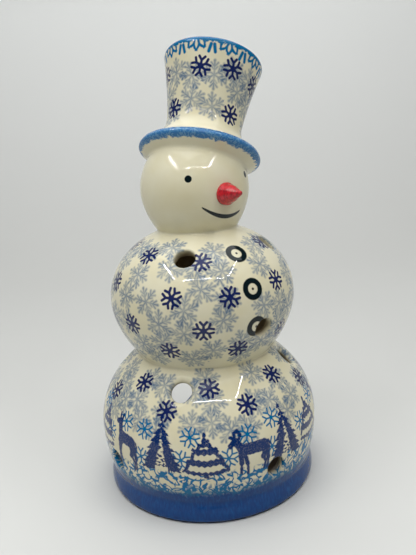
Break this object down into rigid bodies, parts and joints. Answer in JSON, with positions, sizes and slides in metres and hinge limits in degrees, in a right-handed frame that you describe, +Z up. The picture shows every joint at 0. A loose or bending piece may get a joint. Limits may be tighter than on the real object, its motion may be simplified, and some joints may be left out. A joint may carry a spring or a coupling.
{
  "type": "ceramic snowman tealight lantern",
  "caption": "Hollow glazed stoneware snowman lantern with pierced light holes, a round door for a tealight at the back, a carrot nose and a leaning open top hat.",
  "frame": {"origin": "centre of the flat underside of the foot", "axes": "+Z up through the three balls, -Y out of the face, +X to the figure's own left, where the hat leans"},
  "size_m": [0.105, 0.103, 0.2046],
  "materials": {
    "stamped_cream_glaze": "clear glossy glaze over cream stoneware with blue stamped decoration",
    "red_glaze": "glossy red glaze"
  },
  "bodies": {
    "root": {"base_ball": "stamped_cream_glaze", "middle_ball": "stamped_cream_glaze", "head": "stamped_cream_glaze", "top_hat": "stamped_cream_glaze", "carrot_nose": "red_glaze"}
  },
  "joints": []
}
